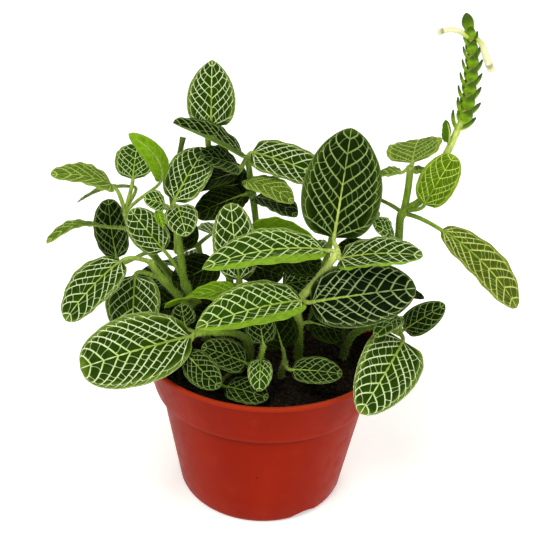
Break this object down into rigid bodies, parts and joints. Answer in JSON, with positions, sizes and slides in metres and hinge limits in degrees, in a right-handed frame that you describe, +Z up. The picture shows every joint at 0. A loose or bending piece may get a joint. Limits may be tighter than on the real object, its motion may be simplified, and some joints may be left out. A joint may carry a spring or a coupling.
{
  "type": "potted plant",
  "caption": "Bushy low houseplant with white-veined oval leaves and one tall flower spike, rooted in soil in a tapered round plastic nursery pot.",
  "frame": {"origin": "centre of the pot's flat underside, on the surface that the pot stands on", "axes": "+Z up along the pot's axis; -Y towards the side the plant is looked at from; +X to that viewer's right, where the flower spike stands"},
  "size_m": [0.2164, 0.1457, 0.2371],
  "materials": {
    "pot": "satin, slightly shiny, terracotta red",
    "soil": "matte, moist dark peat",
    "foliage": "satin, dark green with pale cream-green veins",
    "flower": "matte, pale cream"
  },
  "bodies": {
    "root": {"pot": "pot", "soil": "soil", "flowering_stem": "foliage", "stem_centre_right": "foliage", "stem_centre": "foliage", "plantlet_front": "foliage", "plantlet_right": "foliage", "stem_low_left": "foliage", "stem_low_right": "foliage", "stem_left": "foliage", "stem_upper_left": "foliage", "stem_fan": "foliage", "stem_tall": "foliage", "stem_back_centre": "foliage", "stem_back_right": "foliage", "stem_back_left": "foliage", "stem_back": "foliage", "flower_left": "flower", "flower_right": "flower"}
  },
  "joints": []
}
